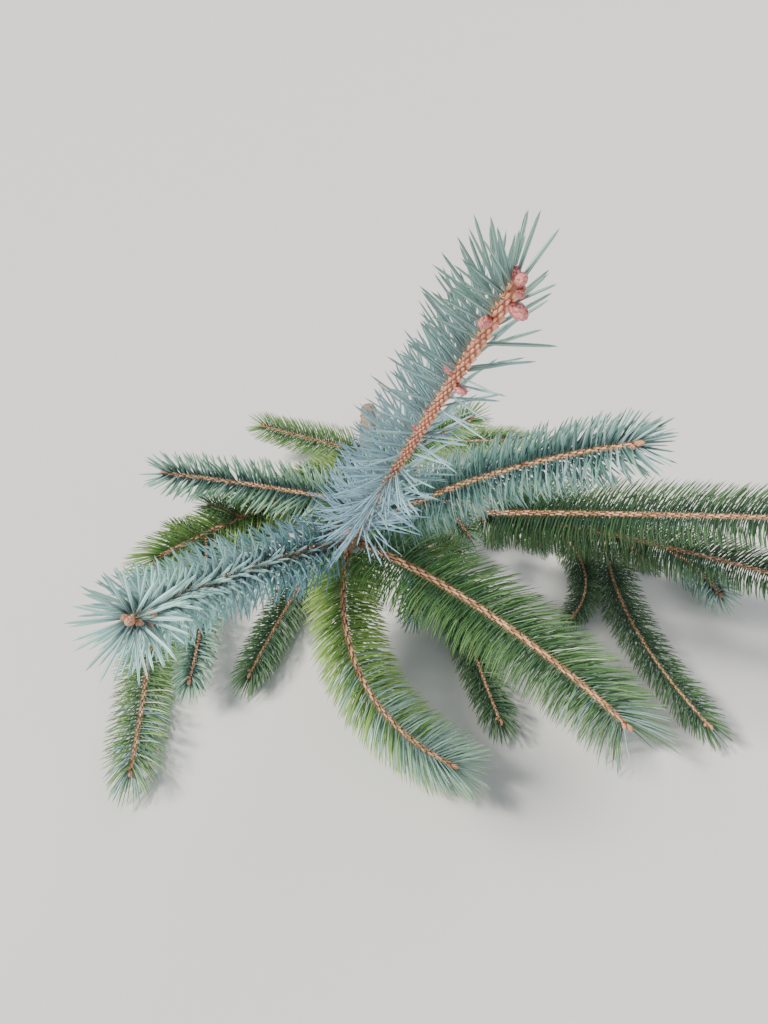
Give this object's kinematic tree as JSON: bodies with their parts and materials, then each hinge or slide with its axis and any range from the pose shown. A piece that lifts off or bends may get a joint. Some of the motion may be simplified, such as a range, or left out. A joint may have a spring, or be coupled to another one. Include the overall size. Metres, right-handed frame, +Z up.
{
  "type": "spruce branch",
  "caption": "Cut conifer branch lying on its underside: a tapering woody stem that rises to a whorl, with a tall leader and spreading side shoots thick with needles.",
  "frame": {"origin": "middle of the branch's footprint, on the flat surface that it lies on", "axes": "+Z up, +Y from the whorl along the main stem towards its cut end, +X to the right as seen from the whorl's side"},
  "size_m": [0.3198, 0.3752, 0.2198],
  "materials": {
    "old_bark": "rough, scaly, grey-brown",
    "young_bark": "ridged, orange-brown, dull",
    "cut_wood": "freshly cut, pale, ringed",
    "buds": "resinous, pinkish red, slightly glossy",
    "blue_needles": "waxy, blue-grey, satin",
    "green_needles": "waxy, fresh green, satin",
    "deep_needles": "waxy, deep green, satin"
  },
  "bodies": {
    "root": {"main_stem": "old_bark", "right_twig": "old_bark", "right_low_twig": "old_bark", "lower_twig": "old_bark", "leader_shoot": "blue_needles", "upper_right_shoot": "blue_needles", "left_front_shoot": "blue_needles", "left_back_shoot": "blue_needles", "left_inner_shoot": "blue_needles", "middle_inner_shoot": "blue_needles", "lower_shoot": "green_needles", "left_low_twig": "green_needles", "left_floor_shoot": "green_needles", "right_end_shoot": "green_needles", "upper_back_shoot": "green_needles", "back_left_shoot": "green_needles", "back_right_shoot": "green_needles", "lower_right_shoot": "deep_needles", "right_long_shoot": "deep_needles", "right_middle_shoot": "deep_needles", "right_floor_shoot": "deep_needles", "inner_floor_shoot": "deep_needles", "middle_floor_shoot": "deep_needles", "left_middle_shoot": "deep_needles"}
  },
  "joints": []
}
